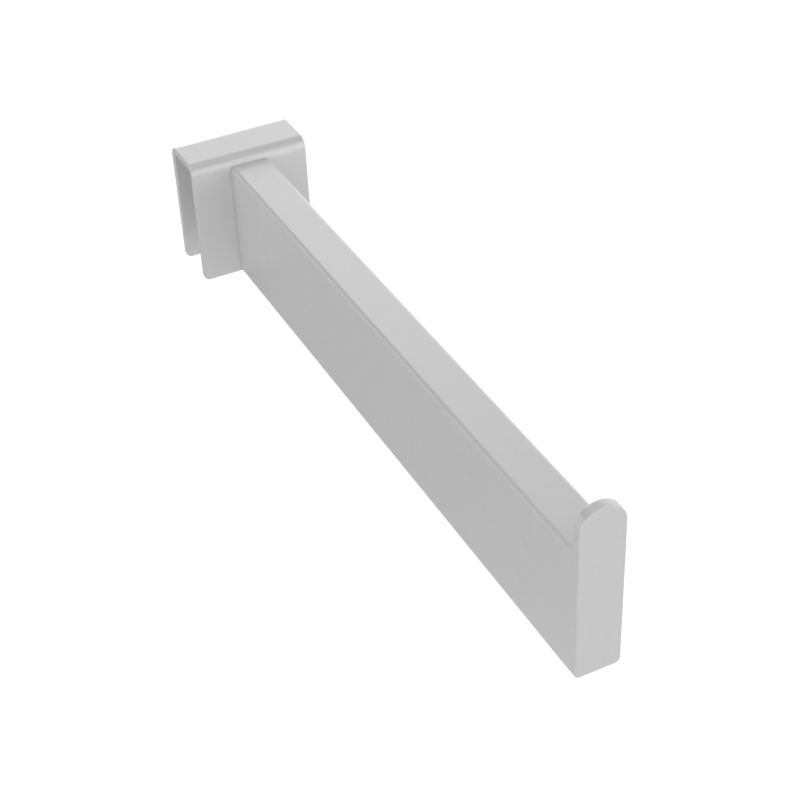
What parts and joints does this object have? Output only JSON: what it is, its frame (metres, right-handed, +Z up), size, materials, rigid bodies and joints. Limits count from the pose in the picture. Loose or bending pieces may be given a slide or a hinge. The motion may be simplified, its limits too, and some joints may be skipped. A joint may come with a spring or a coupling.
{
  "type": "faceout display arm",
  "caption": "Flat rectangular display arm with a folded saddle that drops over a rectangular hang rail and a raised round-topped end plate that stops the hangers.",
  "frame": {"origin": "on the rail seat: the middle of the saddle's inner top face, which rests on the rail", "axes": "+Z up, X along the rail, the arm points towards -Y"},
  "size_m": [0.0382, 0.2241, 0.0508],
  "materials": {
    "satin_silver": "satin silver-grey coat"
  },
  "bodies": {
    "root": {"saddle_bracket": "satin_silver", "arm_tube": "satin_silver", "end_plate": "satin_silver"}
  },
  "joints": []
}
